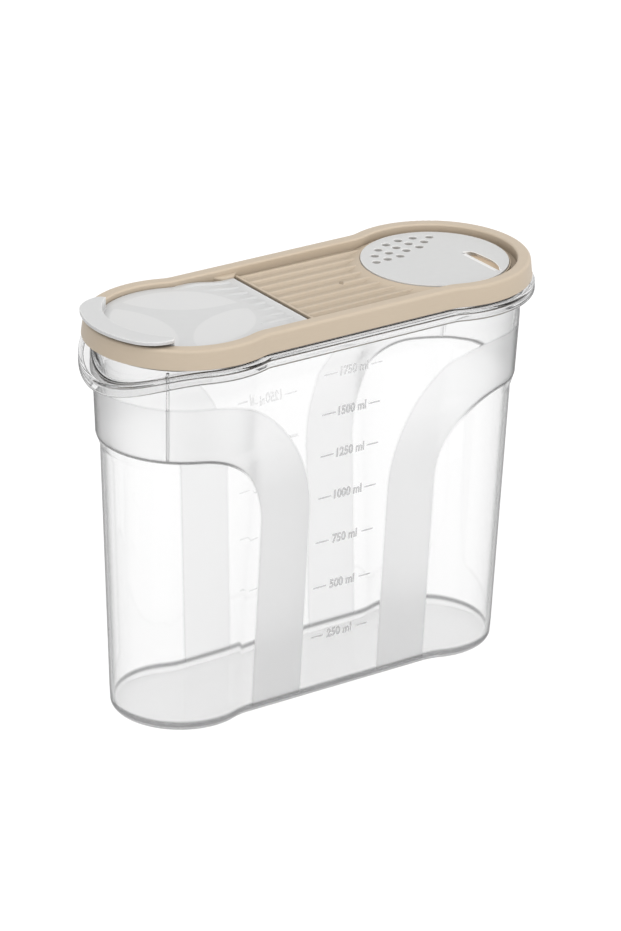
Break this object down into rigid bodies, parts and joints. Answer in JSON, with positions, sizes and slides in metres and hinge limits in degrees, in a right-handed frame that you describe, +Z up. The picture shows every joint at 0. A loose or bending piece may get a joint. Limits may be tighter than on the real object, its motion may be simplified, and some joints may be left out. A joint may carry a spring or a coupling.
{
  "type": "food storage container",
  "caption": "Tall clear dry-food canister with a waisted plan and a push-on lid that carries a hinged pouring flap at one end and a turning shaker disc at the other.",
  "frame": {"origin": "middle of the flat underside of the container, on the table", "axes": "+Z up, +X along the length towards the shaker disc, +Y across the width to the back wall"},
  "size_m": [0.2212, 0.0882, 0.187],
  "materials": {
    "clear_plastic": "clear, with satin bands on the walls",
    "beige_plastic": "satin",
    "white_plastic": "milky satin"
  },
  "bodies": {
    "container": {"container_body": "clear_plastic"},
    "lid": {"lid": "beige_plastic"},
    "flap": {"pour_flap": "white_plastic"},
    "disc": {"shaker_disc": "white_plastic"}
  },
  "joints": [
    {"name": "lid_lift", "type": "slide", "parent": "container", "child": "lid", "axis": [0, 0, 1], "range_m": [0, 0.08]},
    {"name": "flap_hinge", "type": "hinge", "parent": "lid", "child": "flap", "pos_m": [-0.0225, 0, 0.1801], "axis": [0, 1, 0], "range_deg": [0, 110]},
    {"name": "disc_turn", "type": "hinge", "parent": "lid", "child": "disc", "pos_m": [0.0665, 0, 0.1791], "axis": [0, 0, 1], "continuous": true}
  ]
}
